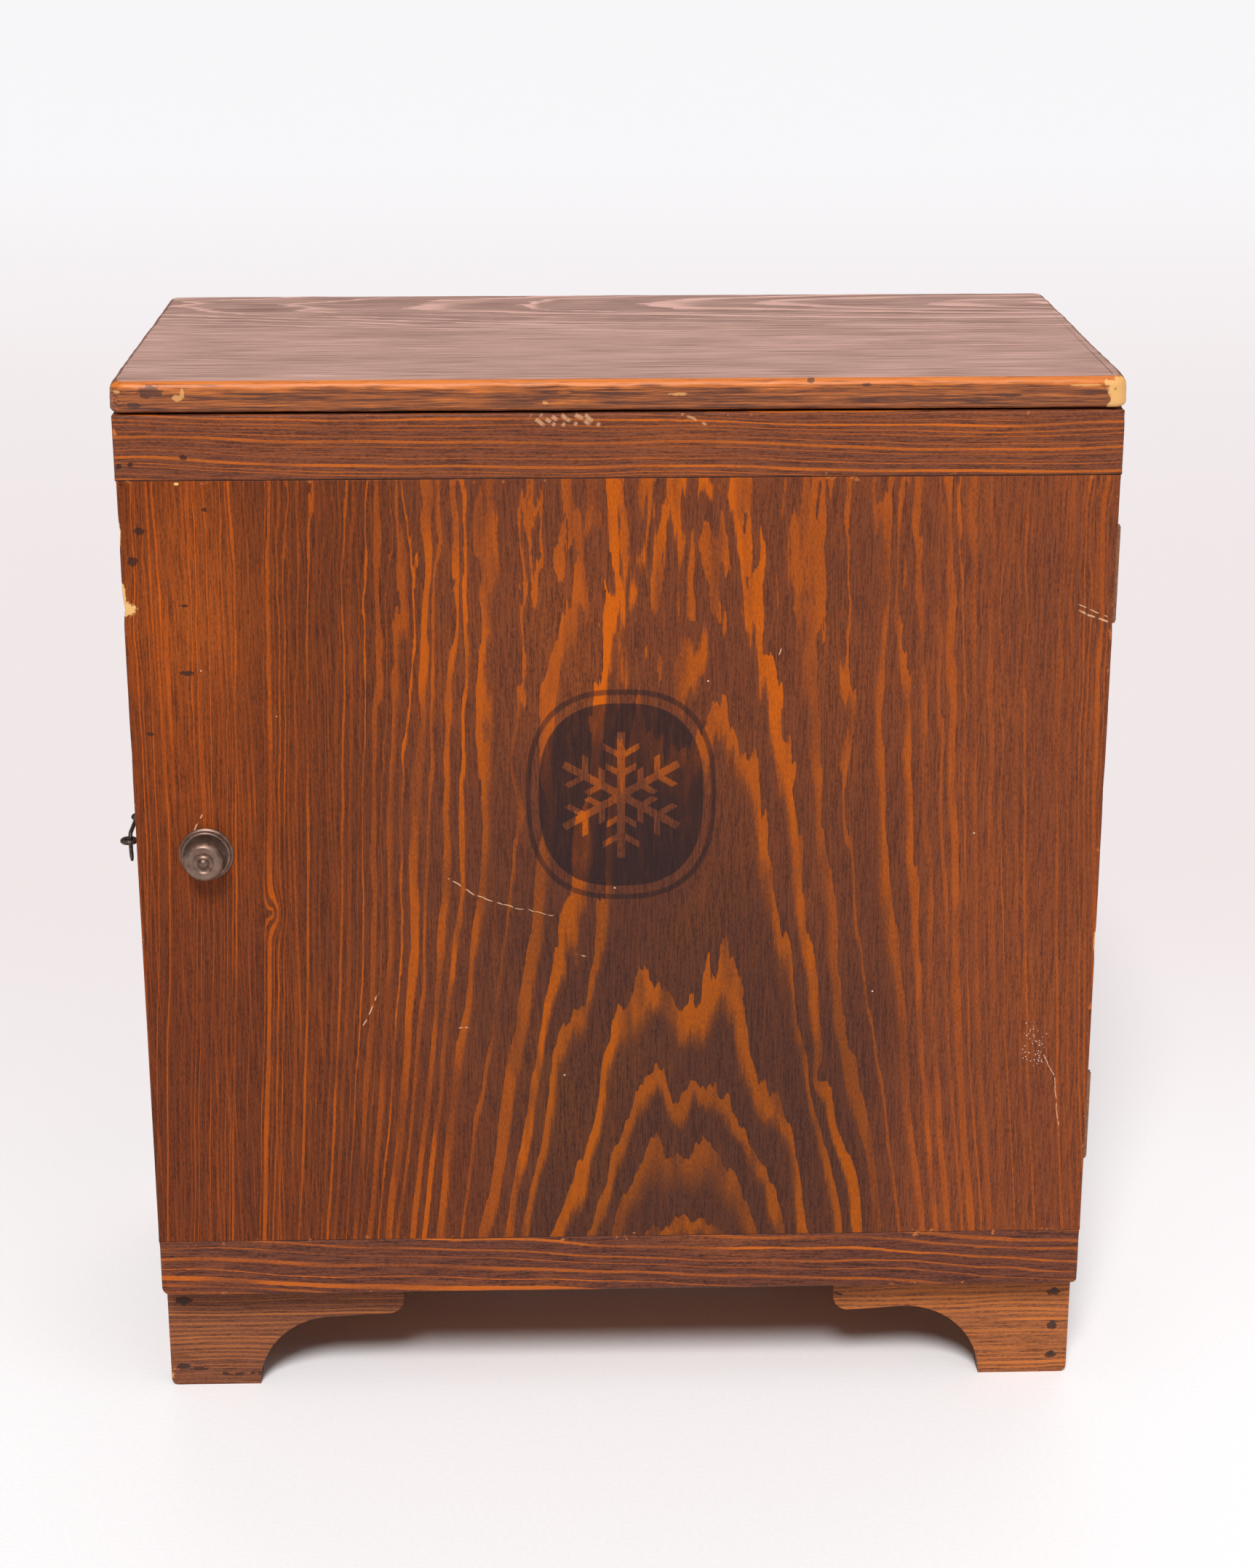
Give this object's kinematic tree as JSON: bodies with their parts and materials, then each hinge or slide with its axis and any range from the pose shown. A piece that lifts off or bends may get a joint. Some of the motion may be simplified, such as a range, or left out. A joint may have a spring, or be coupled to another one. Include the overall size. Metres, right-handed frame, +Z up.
{
  "type": "icebox",
  "caption": "Small free-standing wooden icebox: insulated, zinc-lined case on bracket feet with a side-hinged front door, turned knob, hook latch, ice tray, shelf and drip pan.",
  "frame": {"origin": "on the floor, under the middle of the icebox's footprint", "axes": "+Z up, the door faces -Y, +X to the right as one faces the door"},
  "size_m": [0.625, 0.3405, 0.688],
  "materials": {
    "top_wood": "satin",
    "door_wood": "satin",
    "case_wood": "satin",
    "inner_wood": "matte",
    "cork": "matte",
    "zinc": "satin",
    "tinned_wire": "satin",
    "aged_brass": "satin",
    "dark_steel": "satin",
    "felt": "matte"
  },
  "bodies": {
    "case": {"back_board": "case_wood", "bottom_board": "case_wood", "case_nails": "dark_steel", "drain_pipe": "zinc", "foot_front_left": "case_wood", "foot_front_right": "case_wood", "foot_nails": "dark_steel", "foot_rear_left": "case_wood", "foot_rear_right": "case_wood", "foot_side_front_left": "case_wood", "foot_side_front_right": "case_wood", "foot_side_rear_left": "case_wood", "foot_side_rear_right": "case_wood", "frame_rail_bottom": "inner_wood", "frame_rail_top": "inner_wood", "glue_blocks": "inner_wood", "hinge_lower_case_leaf": "aged_brass", "hinge_pins": "aged_brass", "hinge_screws_case": "aged_brass", "hinge_upper_case_leaf": "aged_brass", "hook_pivot_eye": "dark_steel", "ice_rack": "tinned_wire", "ice_tray": "zinc", "insulation_back": "cork", "insulation_bottom": "cork", "insulation_left": "cork", "insulation_right": "cork", "insulation_top": "cork", "liner_back": "zinc", "liner_ceiling": "zinc", "liner_floor": "zinc", "liner_left": "zinc", "liner_right": "zinc", "shelf_cleat_left": "inner_wood", "shelf_cleat_right": "inner_wood", "side_board_left": "case_wood", "side_board_right": "case_wood", "stile_left": "inner_wood", "stile_right": "inner_wood", "top_board": "top_wood", "tray_cleat_left": "inner_wood", "tray_cleat_right": "inner_wood", "wire_shelf": "tinned_wire"},
    "door": {"door_panel": "door_wood", "door_top_rail": "door_wood", "door_bottom_rail": "door_wood", "door_plug_frame": "inner_wood", "door_insulation": "cork", "door_liner_sheet": "zinc", "door_gasket": "felt", "knob": "aged_brass", "knob_rose": "aged_brass", "knob_screw": "dark_steel", "hinge_upper_door_leaf": "aged_brass", "hinge_lower_door_leaf": "aged_brass", "hinge_screws_door": "aged_brass", "hook_catch_eye": "dark_steel"},
    "hook": {"hook": "dark_steel"},
    "drip_pan": {"drip_pan": "zinc"}
  },
  "joints": [
    {"name": "door_swing", "type": "hinge", "parent": "case", "child": "door", "pos_m": [0.3067, -0.129, 0.377], "axis": [0, 0, 1], "range_deg": [0, 180]},
    {"name": "hook_swing", "type": "hinge", "parent": "case", "child": "hook", "pos_m": [-0.309, -0.097, 0.395], "axis": [-1, 0, 0], "range_deg": [0, 105]},
    {"name": "pan_slide", "type": "slide", "parent": "case", "child": "drip_pan", "axis": [0, -1, 0], "range_m": [0, 0.3]}
  ]
}
